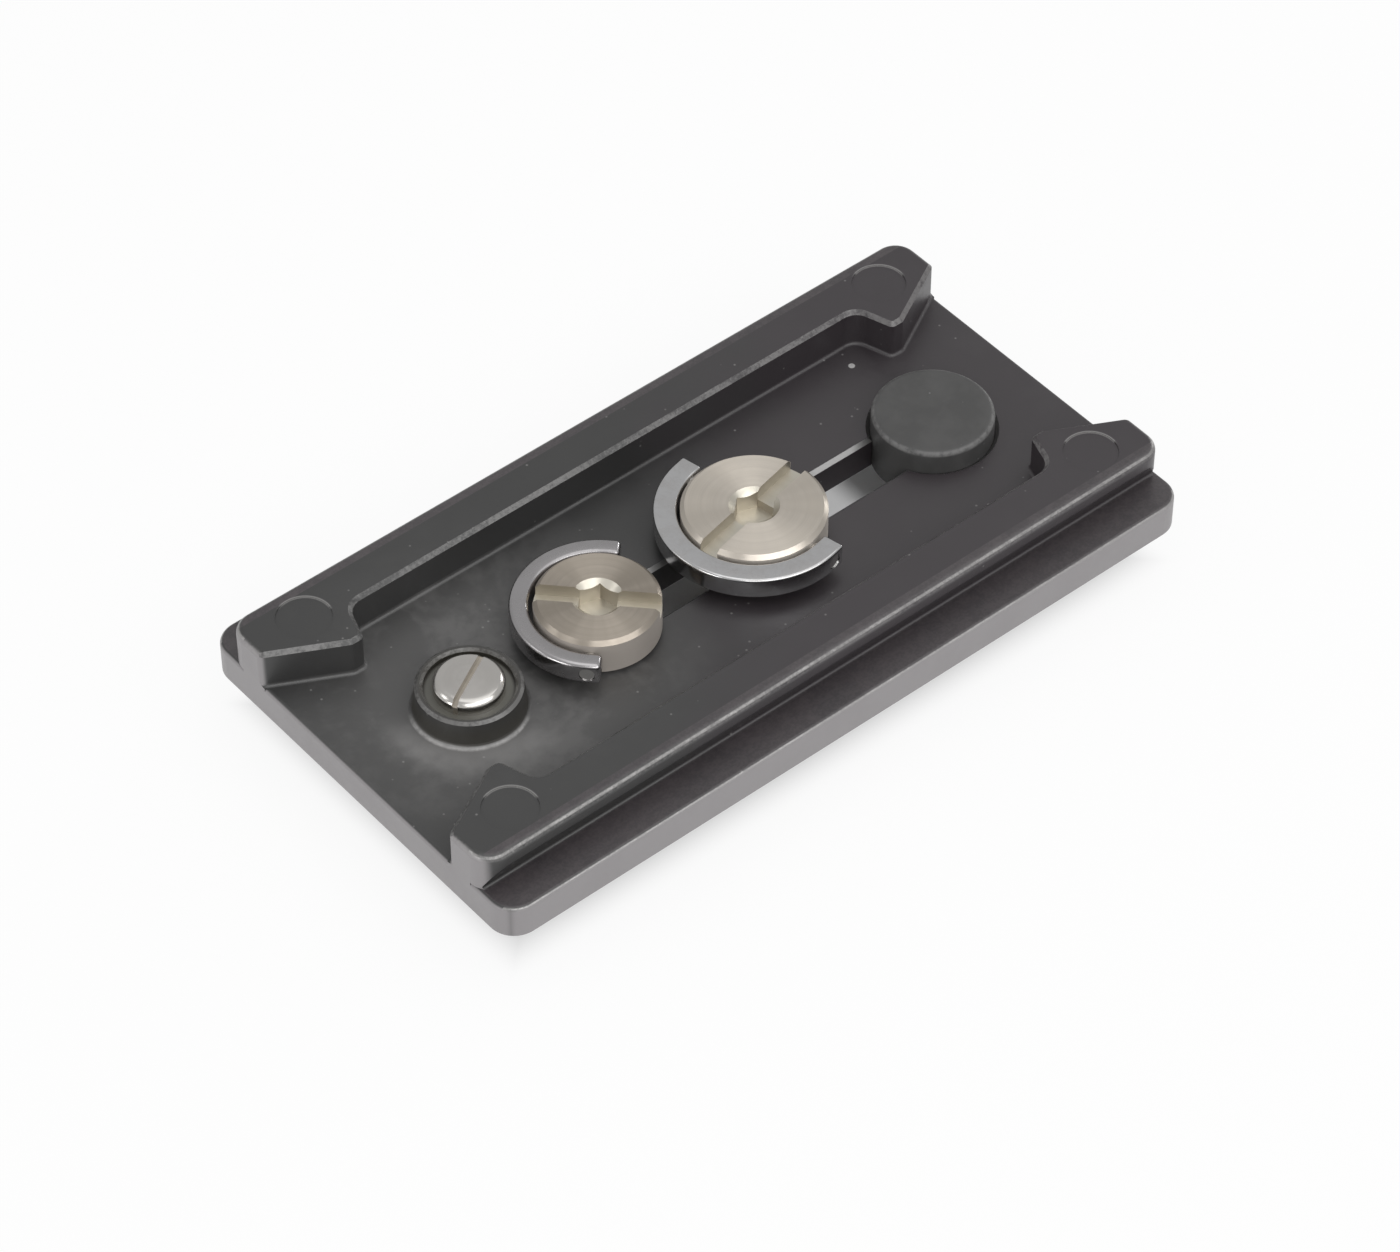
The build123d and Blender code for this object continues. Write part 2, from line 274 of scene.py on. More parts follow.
castingLook = {
    "dark": grey(0.021, 0.01),
    "tint": (0.024, 0.0185, 0.022, 1.0),
    "worn": grey(0.092, 0.02),
    "nearBossPale": grey(0.17, 0.02),
    "olive": (0.029, 0.026, 0.019, 1.0),
    "recessPaintedPale": (0.094, 0.092, 0.077, 1.0),
    "ledgePaintedPale": (0.058, 0.049, 0.052, 1.0),
    "ledgePaintedDark": (0.031, 0.026, 0.029, 1.0),
    "trimmedAndSheen": (0.235, 0.222, 0.227, 1.0),
    "bareAndHighlight": grey(0.42, 0.02),
    "silver": grey(0.34, 0.01),
    "chip": grey(0.80, 0.01),
    "rough": (0.40, 0.47),
    "ior": 1.5,
    "specular": 0.9,
    "grainScale": 3.2,
    "speckScale": 0.9,
    "speckShade": 0.3,
    "smudgeScale": 0.17,
    "bump": (0.22, 0.03),  # strength and depth
    # warm tint toward the plug's end and the near side
    "tintToward": (0.767, -0.641, 0.0),
    "tintScale": 0.07,
    "tintDrift": 30.0,
    "tintReach": (5.0, 25.0),
    # worn channel floor, a pale patch on the boss's near side, and one nick
    "floorTop": 0.5,
    "wornSpot": (-27.0, 1.0, 0.0),
    "wornReach": (26.0, 9.0),
    "wornShare": (0.06, 1.0),
    "wornMark": (0.55, 1.0),
    "wornLevels": (0.2, 1.0),  # above the floor and on it
    "nearBossPaleScale": 0.5,
    "nearBossPaleBlur": 4.0,
    "nearBossPaleReach": (13.5, 8.5),
    "nearBossPaleFrom": (1.0, 6.5),
    "nearSide": (-0.64, -0.77, 0.0),
    "nickSpot": (31.7, 12.75, 0.0),
    "nickSize": (0.42, 0.28),
    # boss, with painted light in the recess and a painted highlight along the near foot
    "bossFoot": 0.25,
    "bossFlank": (6.6, 5.6),
    "bossRecess": (5.3, 5.0),
    "footFrom": (5.95, 6.2),
    "footTo": (6.55, 6.3),
    "footLean": (0.8, 3.5),
    "footScale": 1.1,
    "footLevels": (0.32, 0.62),
    "footHighlightShare": (0.25, 0.7),
    # outer sides and ledges, with painted light and a painted reflection
    "sideDepth": 2.6,
    "sideTurn": (0.5, 0.85),
    "ledgeWide": 5.0,
    "ledgeTurn": (0.9, 0.98),
    "mottle": (0.44, 0.56),
    "mottleShare": 0.5,
    # rubbed edges and lips, with a painted highlight along them
    "chipScale": 2.2,
    "chipReach": 0.12,
    "chipWearAndHighlight": 0.36,
    "lipFrom": 18.6,
    "lipTurn": (0.9, 0.8),
    "lipFade": (0.48, 0.64),
    "patchScale": 0.5,
    "patchLevels": (0.3, 0.7),
    "patchWearAndHighlight": (0.68, 1.0),
    "scoreScale": 3.0,
    "scoreLevels": (0.35, 0.6),
    "scoreWearAndHighlight": (0.62, 1.0),
    "underTurn": (0.0, -0.1),
    "rootTo": 23.4,
    "rootTop": 1.0,
    "wearAndHighlightShare": 0.75,
    "wearAndHighlightMetal": 0.6,
    "wearAndHighlightGloss": 0.08,
    # rings left by ejector pins, painted as highlights on their far arcs
    "pinInset": (6.7, 8.0),
    "pinRadius": 3.0,
    "pinLine": (0.2, 0.04),
    "pinLean": (0.64, 0.77, 0.0),
    "pinBroken": 1.6,
    "pinReach": (1.9, 2.7),
    "pinHighlightShare": 0.42,
    # machined chamfers
    "chamferFrom": (-0.46, -0.44),
    "chamferTo": (-0.01, -0.03),
    "chamferTurn": (0.4, 0.9),
    "chamferSide": 7.25,
    "chamferEnds": (-20.0, 40.0),
}


def castingSurface(tree, place):
    # where a point of the casting lies and how it faces, for all its finishes
    look = castingLook
    on = SimpleNamespace(tree=tree, place=place, axes=axesOf(tree, place))
    on.facing = put(tree, "ShaderNodeNewGeometry").outputs["Normal"]
    on.rise = axesOf(tree, on.facing)["Z"]
    on.corner = vector(tree, "SIGN", place)
    on.fromMiddle = calc(tree, "ABSOLUTE", on.axes["Y"])
    on.floor = calc(tree, "LESS_THAN", on.axes["Z"], look["floorTop"])
    on.fromBoss = vector(tree, "DISTANCE", place, bossSpot)
    on.lean = vector(tree, "DOT_PRODUCT", vector(tree, "SUBTRACT", place, bossSpot), look["nearSide"])
    on.grain = useGroup(tree, castGrain, Place=place, Scale=look["grainScale"], Specks=look["speckScale"])
    on.mark = useGroup(tree, smudge, Place=place, Scale=look["smudgeScale"])["Mark"]
    return on


def wornFloor(on, coat):
    # channel floor, rubbed round the boss, and paler on the boss's near side
    tree, look = on.tree, castingLook
    spot = vector(tree, "DISTANCE", on.place, look["wornSpot"])
    worn = product(
        tree,
        spread(tree, on.mark, 0.0, 1.0, *look["wornMark"]),
        spread(tree, spot, *look["wornReach"], *look["wornShare"]),
        spread(tree, on.floor, 0.0, 1.0, *look["wornLevels"]),
    )
    blur = product(tree, noise(tree, on.place, look["nearBossPaleScale"], detail=4.0), look["nearBossPaleBlur"])
    nearBossPale = product(
        tree,
        spread(tree, calc(tree, "ADD", on.fromBoss, blur), *look["nearBossPaleReach"]),
        spread(tree, on.lean, *look["nearBossPaleFrom"]),
        on.floor,
    )
    coat = blendColour(tree, worn, coat, look["worn"])
    return blendColour(tree, nearBossPale, coat, look["nearBossPale"])


def bossTone(on, coat):
    # olive flank, a recess painted paler as painted light against its shade, and a painted highlight along
    # the near foot
    tree, look = on.tree, castingLook
    above = calc(tree, "GREATER_THAN", on.axes["Z"], look["bossFoot"])
    for reach, colour in (("bossFlank", "olive"), ("bossRecess", "recessPaintedPale")):
        covered = product(tree, spread(tree, on.fromBoss, *look[reach]), above)
        coat = blendColour(tree, covered, coat, look[colour])
    broken = noise(tree, on.place, look["footScale"], detail=4.0)
    footHighlight = product(
        tree,
        spread(tree, on.fromBoss, *look["footFrom"]),
        spread(tree, on.fromBoss, *look["footTo"]),
        spread(tree, on.lean, *look["footLean"]),
        spread(tree, broken, *look["footLevels"], *look["footHighlightShare"]),
        on.floor,
    )
    return blendColour(tree, footHighlight, coat, look["bareAndHighlight"])


def outerSides(on, coat):
    # mottled ledges painted lighter than the coat as painted light, and sides paler where the flash was
    # trimmed and painted paler still as a painted reflection of the white floor
    tree, look = on.tree, castingLook
    outer = calc(tree, "GREATER_THAN", on.fromMiddle, plateHigh.y / mm - look["ledgeWide"])
    ledge = product(tree, outer, spread(tree, on.rise, *look["ledgeTurn"]))
    pebble = spread(tree, on.grain["Height"], *look["mottle"])
    mottle = weigh(tree, on.mark, pebble, look["mottleShare"])
    coat = blendColour(tree, ledge, coat, blendColour(tree, mottle, look["ledgePaintedPale"], look["ledgePaintedDark"]))
    outward = axesOf(tree, vector(tree, "MULTIPLY", on.facing, on.corner))
    trimmedAndSheen = []
    for axis, limit in (("X", plateHigh.x / mm), ("Y", plateHigh.y / mm)):
        inset = calc(tree, "SUBTRACT", limit, calc(tree, "ABSOLUTE", on.axes[axis]))
        outside = calc(tree, "LESS_THAN", inset, look["sideDepth"])
        trimmedAndSheen.append(product(tree, outside, spread(tree, outward[axis], *look["sideTurn"])))
    return blendColour(tree, calc(tree, "MAXIMUM", *trimmedAndSheen), coat, look["trimmedAndSheen"])


def rubbedAndHighlightedEdges(on):
    # coat rubbed off the edges, and a painted highlight band along the rails' lips, but not under them
    tree, look = on.tree, castingLook
    chipped = useGroup(tree, edgeWearAndSheen, Place=on.place, Scale=look["chipScale"], Reach=look["chipReach"])
    patch = noise(tree, on.place, look["patchScale"])
    score = noise(tree, on.place, look["scoreScale"], detail=4.0, roughness=0.7)
    lipWearAndHighlight = product(
        tree,
        spread(tree, patch, *look["patchLevels"], *look["patchWearAndHighlight"]),
        spread(tree, score, *look["scoreLevels"], *look["scoreWearAndHighlight"]),
        spread(tree, on.rise, *look["lipTurn"]),
        spread(tree, on.rise, *look["lipFade"]),
        calc(tree, "GREATER_THAN", on.fromMiddle, look["lipFrom"]),
    )
    edgeMask = calc(tree, "MAXIMUM", product(tree, chipped["WearAndSheen"], look["chipWearAndHighlight"]), lipWearAndHighlight)
    above = calc(tree, "GREATER_THAN", on.axes["Z"], 0.0)
    under = product(tree, spread(tree, on.rise, *look["underTurn"]), above)
    low = calc(tree, "LESS_THAN", on.axes["Z"], look["rootTop"])
    root = product(tree, calc(tree, "LESS_THAN", on.fromMiddle, look["rootTo"]), low)
    return product(tree, edgeMask, calc(tree, "SUBTRACT", 1.0, calc(tree, "MAXIMUM", under, root)))


def ejectorRingHighlights(on):
    # painted highlight on the far arc of the ring that an ejector pin left on each foot
    tree, look = on.tree, castingLook
    insetX, insetY = look["pinInset"]
    spot = (plateHigh.x / mm - insetX, plateHigh.y / mm - insetY, plateHigh.z / mm)
    fromPin = vector(tree, "SUBTRACT", on.place, vector(tree, "MULTIPLY", on.corner, spot))
    offLine = calc(tree, "SUBTRACT", vector(tree, "LENGTH", fromPin), look["pinRadius"])
    line = spread(tree, calc(tree, "ABSOLUTE", offLine), *look["pinLine"])
    litSide = vector(tree, "DOT_PRODUCT", fromPin, look["pinLean"])
    broken = calc(tree, "ADD", litSide, product(tree, on.grain["Height"], look["pinBroken"]))
    return product(tree, line, spread(tree, broken, *look["pinReach"]))


def machinedChamfers(on):
    # bright chamfers round the slot and the entry hole
    tree, look = on.tree, castingLook
    slope = axesOf(tree, put(tree, "ShaderNodeNewGeometry").outputs["True Normal"])["Z"]
    steepest, flattest = look["chamferTurn"]
    start, stop = look["chamferEnds"]
    return product(
        tree,
        spread(tree, on.axes["Z"], *look["chamferFrom"]),
        spread(tree, on.axes["Z"], *look["chamferTo"]),
        calc(tree, "GREATER_THAN", slope, steepest),
        calc(tree, "LESS_THAN", slope, flattest),
        calc(tree, "LESS_THAN", on.fromMiddle, look["chamferSide"]),
        calc(tree, "GREATER_THAN", on.axes["X"], start),
        calc(tree, "LESS_THAN", on.axes["X"], stop),
    )


def castingMaterial():
    look = castingLook
    material, tree, shader, place = newMaterial("satin_black_casting")
    on = castingSurface(tree, place)
    drift = product(tree, noise(tree, place, look["tintScale"]), look["tintDrift"])
    along = calc(tree, "ADD", vector(tree, "DOT_PRODUCT", place, look["tintToward"]), drift)
    coat = blendColour(tree, spread(tree, along, *look["tintReach"]), look["dark"], look["tint"])
    coat = wornFloor(on, coat)
    coat = blendColour(tree, product(tree, on.grain["Specks"], look["speckShade"]), coat, look["bareAndHighlight"])
    coat = bossTone(on, coat)
    coat = outerSides(on, coat)
    edgeMask = rubbedAndHighlightedEdges(on)
    # edges lightened, more metal and glossier: rubbed coat, and painted highlight along the lips and
    # rounded edges
    coat = blendColour(tree, product(tree, edgeMask, look["wearAndHighlightShare"]), coat, look["bareAndHighlight"])
    coat = blendColour(tree, product(tree, ejectorRingHighlights(on), look["pinHighlightShare"]), coat, look["bareAndHighlight"])
    cut = machinedChamfers(on)
    coat = blendColour(tree, cut, coat, look["silver"])
    nick = spread(tree, vector(tree, "DISTANCE", place, look["nickSpot"]), *look["nickSize"])
    coat = blendColour(tree, nick, coat, look["chip"])
    metal = calc(tree, "MAXIMUM", cut, nick)
    metal = calc(tree, "MAXIMUM", metal, product(tree, edgeMask, look["wearAndHighlightMetal"]))
    rough = spread(tree, on.mark, 0.0, 1.0, *look["rough"])
    feed(tree, shader["Base Color"], coat)
    feed(tree, shader["Metallic"], metal)
    feed(tree, shader["Roughness"], calc(tree, "SUBTRACT", rough, product(tree, edgeMask, look["wearAndHighlightGloss"])))
    shader["IOR"].default_value = look["ior"]
    shader["Specular IOR Level"].default_value = look["specular"]
    addBump(tree, shader, on.grain["Height"], *look["bump"])
    return material


# Rubber and nylon: the plug, the grip pads and the washers

rubberLook = {
    # rim is the grey of a painted highlight on each rounded rim
    "plug": {"colour": 0.06, "dust": 0.30, "rim": 0.17,
             "rough": (0.5, 0.62), "grain": 5.0, "bump": 0.2},
    "grip": {"colour": 0.028, "dust": 0.18, "rim": 0.04,
             "rough": (0.62, 0.78), "grain": 4.0, "bump": 0.3},
    "nylon": {"colour": 0.024, "dust": 0.12, "rim": 0.03,
              "rough": (0.45, 0.55), "grain": 3.0, "bump": 0.12},
    "warm": 0.01,
    "lighter": 1.25,
    "speckScale": 1.1,
    "dustShare": 0.35,
    "smudgeScale": 0.2,
    "rimSheenScale": 1.2,
    "rimSheenReach": 0.14,
    "rimSheenShare": 0.8,
    "specular": 0.5,
    "depth": 0.03,
}


def rubberMaterial(name, kind):
    look = {**rubberLook, **rubberLook[kind]}
    material, tree, shader, place = newMaterial(name)
    grain = useGroup(tree, castGrain, Place=place, Scale=look["grain"], Specks=look["speckScale"])
    mark = useGroup(tree, smudge, Place=place, Scale=look["smudgeScale"])["Mark"]
    rim = useGroup(tree, edgeWearAndSheen, Place=place, Scale=look["rimSheenScale"], Reach=look["rimSheenReach"])["WearAndSheen"]
    plain = grey(look["colour"], look["warm"])
    smudged = grey(look["colour"] * look["lighter"], look["warm"])
    colour = blendColour(tree, mark, plain, smudged)
    dust = product(tree, grain["Specks"], look["dustShare"])
    colour = blendColour(tree, dust, colour, grey(look["dust"]))
    # painted highlight: the rims are lightened where they round over
    rubbedAndSheen = product(tree, rim, look["rimSheenShare"])
    colour = blendColour(tree, rubbedAndSheen, colour, grey(look["rim"], look["warm"]))
    feed(tree, shader["Base Color"], colour)
    feed(tree, shader["Roughness"], spread(tree, mark, 0.0, 1.0, *look["rough"]))
    shader["Specular IOR Level"].default_value = look["specular"]
    addBump(tree, shader, grain["Height"], look["bump"], look["depth"])
    return material


# Turned metal: "wall" is the roughness and the metal share of upright faces

metalLook = {
    "quarter": {"colour": (0.51, 0.455, 0.39, 1), "shade": (0.40, 0.355, 0.30, 1), "rough": (0.34, 0.4),
                "pitch": 0.09, "bump": 0.03, "anisotropy": 0.8, "paintedBeam": 0.8,
                "wall": (0.5, 0.5), "wallPaintedShading": (0.52, 0.475, 0.43, 1)},
    "three_eighth": {"colour": (0.76, 0.70, 0.62, 1), "shade": (0.66, 0.605, 0.53, 1), "rough": (0.34, 0.4),
                     "pitch": 0.11, "bump": 0.03, "anisotropy": 0.8, "paintedBeam": 0.6,
                     "wall": (0.45, 0.7), "wallPaintedShading": (0.66, 0.61, 0.55, 1)},
    "coinSlot": {"colour": (0.70, 0.665, 0.585, 1), "shade": (0.56, 0.53, 0.455, 1), "rough": (0.38, 0.46),
                 "pitch": 0.4, "bump": 0.02, "anisotropy": 0.0, "paintedBeam": 0.3,
                 "wall": (0.4, 1.0), "wallPaintedShading": (0.56, 0.52, 0.45, 1)},
    "stop": {"colour": (0.66, 0.64, 0.61, 1), "shade": (0.59, 0.57, 0.54, 1), "rough": (0.2, 0.26),
             "pitch": 0.3, "bump": 0.004, "anisotropy": 0.2, "paintedBeam": 0.2,
             "wall": (0.2, 1.0), "wallPaintedShading": (0.66, 0.64, 0.61, 1)},
    # the stop screw's slot faces are painted darker and browner than the head: painted shade in the slot
    "stopSlot": {"colour": (0.60, 0.55, 0.48, 1), "shade": (0.46, 0.42, 0.37, 1), "rough": (0.4, 0.5),
                 "pitch": 0.4, "bump": 0.02, "anisotropy": 0.0, "paintedBeam": 0.2},
    "pin": {"colour": (0.80, 0.79, 0.77, 1), "shade": (0.66, 0.65, 0.63, 1), "rough": (0.14, 0.22),
            "pitch": 0.1, "bump": 0.05, "anisotropy": 0.0, "paintedBeam": 0.2},
    "shadeLevels": (0.35, 0.65),
    "shadeShare": 0.5,
    "smudgeScale": 0.3,
    "smudgeShare": 0.2,
    "wallTurn": (0.4, 0.2),
    "shineTurn": 0.25,
    "depth": 0.02,
}


def turnedMaterial(name, kind, centre):
    look = {**metalLook, **metalLook[kind]}
    material, tree, shader, place = newMaterial(name)
    tool = useGroup(tree, turning, Place=place, Centre=centre, Pitch=look["pitch"])
    mark = useGroup(tree, smudge, Place=place, Scale=look["smudgeScale"])["Mark"]
    shade = spread(tree, tool["Shade"], *look["shadeLevels"])
    colour = look["colour"]
    # the beam share paints light and dark sectors of sheen into the colour
    for mask, share in ((shade, "shadeShare"), (tool["PaintedBeam"], "paintedBeam"), (mark, "smudgeShare")):
        colour = blendColour(tree, product(tree, mask, look[share]), colour, look["shade"])
    rough = spread(tree, mark, 0.0, 1.0, *look["rough"])
    shader["Metallic"].default_value = 1.0
    if "wall" in look:
        # the brushed tops shine in beams, and the turned walls are duller, in a colour of their own that is
        # painted light and shade: lighter on the 1/4 inch head, darker on the 3/8 inch head and on the coin
        # slot's walls
        wallRough, wallMetal = look["wall"]
        facing = put(tree, "ShaderNodeNewGeometry").outputs["Normal"]
        wall = spread(tree, calc(tree, "ABSOLUTE", axesOf(tree, facing)["Z"]), *look["wallTurn"])
        colour = blendColour(tree, wall, colour, look["wallPaintedShading"])
        rough = calc(tree, "MAXIMUM", rough, product(tree, wall, wallRough))
        feed(tree, shader["Metallic"], spread(tree, wall, 0.0, 1.0, 1.0, wallMetal))
        brushed = put(tree, "ShaderNodeTangent", direction_type="RADIAL", axis="Z")
        feed(tree, shader["Tangent"], brushed.outputs[0])
    feed(tree, shader["Base Color"], colour)
    feed(tree, shader["Roughness"], rough)
    shader["Anisotropic"].default_value = look["anisotropy"]
    shader["Anisotropic Rotation"].default_value = look["shineTurn"]
    addBump(tree, shader, tool["Height"], look["bump"], look["depth"])
    return material


# Chrome of the D-rings

chromeLook = {
    "quarter": {"colour": (0.46, 0.447, 0.452, 1), "dull": (0.35, 0.338, 0.342, 1),
                "rough": (0.2, 0.32)},
    "three_eighth": {"colour": (0.64, 0.64, 0.645, 1), "dull": (0.48, 0.465, 0.455, 1),
                     "rough": (0.15, 0.26)},
    "grain": 1.6,
    "speckScale": 1.4,
    "smudgeScale": 0.35,
    "smudgeShare": 0.5,
    "wearScale": 3.0,
    "wearReach": -0.08,
    "wearShare": 0.3,
    "bump": (0.08, 0.02),  # strength and depth
}


def chromeMaterial(name, kind):
    look = {**chromeLook, **chromeLook[kind]}
    material, tree, shader, place = newMaterial(name)
    grain = useGroup(tree, castGrain, Place=place, Scale=look["grain"], Specks=look["speckScale"])
    mark = useGroup(tree, smudge, Place=place, Scale=look["smudgeScale"])["Mark"]
    edgeMask = useGroup(tree, edgeWearAndSheen, Place=place, Scale=look["wearScale"], Reach=look["wearReach"])["WearAndSheen"]
    colour = look["colour"]
    for mask, share in ((mark, "smudgeShare"), (edgeMask, "wearShare")):
        colour = blendColour(tree, product(tree, mask, look[share]), colour, look["dull"])
    feed(tree, shader["Base Color"], colour)
    feed(tree, shader["Roughness"], spread(tree, mark, 0.0, 1.0, *look["rough"]))
    shader["Metallic"].default_value = 1.0
    addBump(tree, shader, grain["Height"], *look["bump"])
    return material


def axisPlace(joint):
    return tuple(value / mm for value in joints[joint]["pos_m"])


materials = {
    "casting": castingMaterial(),
    "plug": rubberMaterial("moulded_plug_rubber", "plug"),
    "grip": rubberMaterial("ribbed_grip_rubber", "grip"),
    "nylon": rubberMaterial("black_washer_nylon", "nylon"),
    "stop": turnedMaterial("zinc_plated_steel", "stop", stopCentre),
    "stopSlot": turnedMaterial("shaded_screw_slot", "stopSlot", stopCentre),
    "coinSlot": turnedMaterial("milled_coin_slot", "coinSlot", axisPlace("three_eighth_spin")),
    "pin": turnedMaterial("ground_pin_steel", "pin", axisPlace("quarter_spin")),
    "quarter_chrome": chromeMaterial("worn_chrome", "quarter"),
    "three_eighth_chrome": chromeMaterial("bright_chrome", "three_eighth"),
}
for screw in screwNames:
    materials[screw] = turnedMaterial("turned_nickel_" + screw, screw, axisPlace(screw + "_spin"))
print("materials:", len(materials), "made")


# Small helpers for meshes

meshLook = {"sharpAngle": 35, "weldGap": 0.002}


def giveMaterial(piece, key):
    piece.data.materials.clear()
    piece.data.materials.append(materials[key])


def dressSunk(piece, key, isSunk):
    # a second material for the faces of a slot or socket
    piece.data.materials.append(materials[key])
    for face in piece.data.polygons:
        if isSunk(face):
            face.material_index = 1


def finishMesh(form, name, key, body, sharpAngle=meshLook["sharpAngle"]):
    mesh = bpy.data.meshes.new(name)
    bmesh.ops.recalc_face_normals(form, faces=form.faces)
    form.to_mesh(mesh)
    form.free()
    for face in mesh.polygons:
        face.use_smooth = True
    mesh.set_sharp_from_angle(angle=math.radians(sharpAngle))
    piece = bpy.data.objects.new(name, mesh)
    bpy.context.scene.collection.objects.link(piece)
    giveMaterial(piece, key)
    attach(piece, body)
    return piece


def skin(form, loops, closeFirst=True):
    # faces from each loop of points to the next, and over the ends
    for first, second in zip(loops, loops[1:]):
        for index in range(len(first)):
            after = (index + 1) % len(first)
            form.faces.new((first[index], first[after], second[after], second[index]))
    if closeFirst:
        form.faces.new(loops[0])
    form.faces.new(loops[-1])


def turnedLoop(form, axis, height, reaches):
    # a point at each reach, evenly spaced round the axis
    loop = []
    for step, reach in enumerate(reaches):
        angle = 2 * math.pi * step / len(reaches)
        offset = Vector((reach * math.cos(angle), reach * math.sin(angle), height))
        loop.append(form.verts.new(axis + offset))
    return loop


def carve(piece, form):
    # takes the form out of the piece's own mesh
    cutter = bpy.data.meshes.new("cutter")
    form.to_mesh(cutter)
    form.free()
    carver = bpy.data.objects.new("cutter", cutter)
    bpy.context.scene.collection.objects.link(carver)
    step = piece.modifiers.new("carve", "BOOLEAN")
    step.operation = "DIFFERENCE"
    step.solver = "EXACT"
    step.object = carver
    bpy.context.view_layer.update()
    result = bpy.data.meshes.new_from_object(piece.evaluated_get(bpy.context.evaluated_depsgraph_get()))
    piece.modifiers.remove(step)
    piece.data = result
    bpy.data.objects.remove(carver)
    result.set_sharp_from_angle(angle=math.radians(meshLook["sharpAngle"]))


def weldedCopy(node):
    # points and faces only, because the CAD mesh's own normals don't fit the welded one
    source = nodes[node].data
    form = bmesh.new()
    points = [form.verts.new(vertex.co) for vertex in source.vertices]
    for face in source.polygons:
        form.faces.new([points[index] for index in face.vertices])
    bmesh.ops.remove_doubles(form, verts=form.verts, dist=meshLook["weldGap"] * mm)
    return form


# D-rings: the CAD ring's own sizes with softly rounded edges and drilled legs

ringLook = {
    "quarter": {"edge": 0.46, "end": 0.5},
    "three_eighth": {"edge": 0.3, "end": 0.24},
    "leastEdge": 0.05,
    "cornerSteps": 5,
    "arcSteps": 72,
    "holeClearance": 0.04,
    "drillOver": 1.0,
    "drillFacets": 40,
}


def ringSizes(screw):
    # measured along the ring's pivot axis and toward its crown
    joint = joints[screw + "_ring_fold"]
    ring = SimpleNamespace(centre=Vector(joint["pos_m"]), across=Vector(joint["axis"]))
    ring.crown = Vector((0, 0, 1)).cross(ring.across)
    offsets = [vertex.co - ring.centre for vertex in nodes[screw + "_d_ring"].data.vertices]
    if sum(offset.dot(ring.crown) for offset in offsets) < 0:
        ring.crown = -ring.crown
    ring.outer = max(offset.dot(ring.across) for offset in offsets)
    ring.tail = -min(offset.dot(ring.crown) for offset in offsets)
    inner = min(abs(offset.dot(ring.across)) for offset in offsets if offset.dot(ring.crown) < 0)
    low = min(offset.z for offset in offsets)
    high = max(offset.z for offset in offsets)
    ring.middle, ring.level = (inner + ring.outer) / 2, (low + high) / 2
    ring.halfWide, ring.halfHigh = (ring.outer - inner) / 2, (high - low) / 2
    return ring


def ringStations(ring, end):
    # along the D: point, outward direction and how far the section is drawn in
    leg = []
    for step in range(ringLook["cornerSteps"] + 1):
        angle = math.pi / 2 * step / ringLook["cornerSteps"]
        point = (ring.middle, -ring.tail + end * (1 - math.cos(angle)))
        leg.append((point, (1, 0), end * (1 - math.sin(angle))))
    arc = []
    for step in range(ringLook["arcSteps"] + 1):
        angle = math.pi * step / ringLook["arcSteps"]
        away = (math.cos(angle), math.sin(angle))
        arc.append(((ring.middle * away[0], ring.middle * away[1]), away, 0.0))
    otherLeg = [((-point[0], point[1]), (-1, 0), drawn) for point, _, drawn in reversed(leg)]
    return leg + arc + otherLeg


def roundedSection(halfWide, halfHigh, radius):
    steps = ringLook["cornerSteps"]
    points = []
    for corner, signs in enumerate(((1, 1), (-1, 1), (-1, -1), (1, -1))):
        middle = Vector((signs[0] * (halfWide - radius), signs[1] * (halfHigh - radius)))
        for step in range(steps + 1):
            angle = math.radians(90 * corner + 90 * step / steps)
            points.append(middle + radius * Vector((math.cos(angle), math.sin(angle))))
    return points


def pivotDrill(screw, ring):
    # turned by half a facet, so that no corner of the hole falls on an edge of the leg
    pinLow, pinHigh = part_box(screw + "_pivot_pins")
    radius = (pinHigh.z - pinLow.z) / 2 + ringLook["holeClearance"] * mm
    length = 2 * (ring.outer + ringLook["drillOver"] * mm)
    facets = ringLook["drillFacets"]
    aim = ring.across.to_track_quat("Z", "Y").to_matrix().to_4x4()
    place = Matrix.Translation(ring.centre) @ aim @ Matrix.Rotation(math.pi / facets, 4, "Z")
    drill = bmesh.new()
    bmesh.ops.create_cone(drill, cap_ends=True, segments=facets, radius1=radius, radius2=radius,
                          depth=length, matrix=place)
    return drill


def dRing(screw):
    node = screw + "_d_ring"
    ring = ringSizes(screw)
    edge, end = ringLook[screw]["edge"] * mm, ringLook[screw]["end"] * mm
    form = bmesh.new()
    loops = []
    for point, away, drawn in ringStations(ring, end):
        radius = max(edge - drawn, ringLook["leastEdge"] * mm)
        loop = []
        for reach, height in roundedSection(ring.halfWide - drawn, ring.halfHigh - drawn, radius):
            x, y = point[0] + away[0] * reach, point[1] + away[1] * reach
            place = ring.centre + ring.across * x + ring.crown * y + Vector((0, 0, ring.level + height))
            loop.append(form.verts.new(place))
        loops.append(loop)
    skin(form, loops)
    piece = finishMesh(form, screw + "_d_ring_rounded", screw + "_chrome", node)
    carve(piece, pivotDrill(screw, ring))
    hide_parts(node)


for screw in screwNames:
    dRing(screw)
print("rings: 2 rounded D-rings with drilled legs")


# Camera screws: the CAD head and neck with a real helical thread

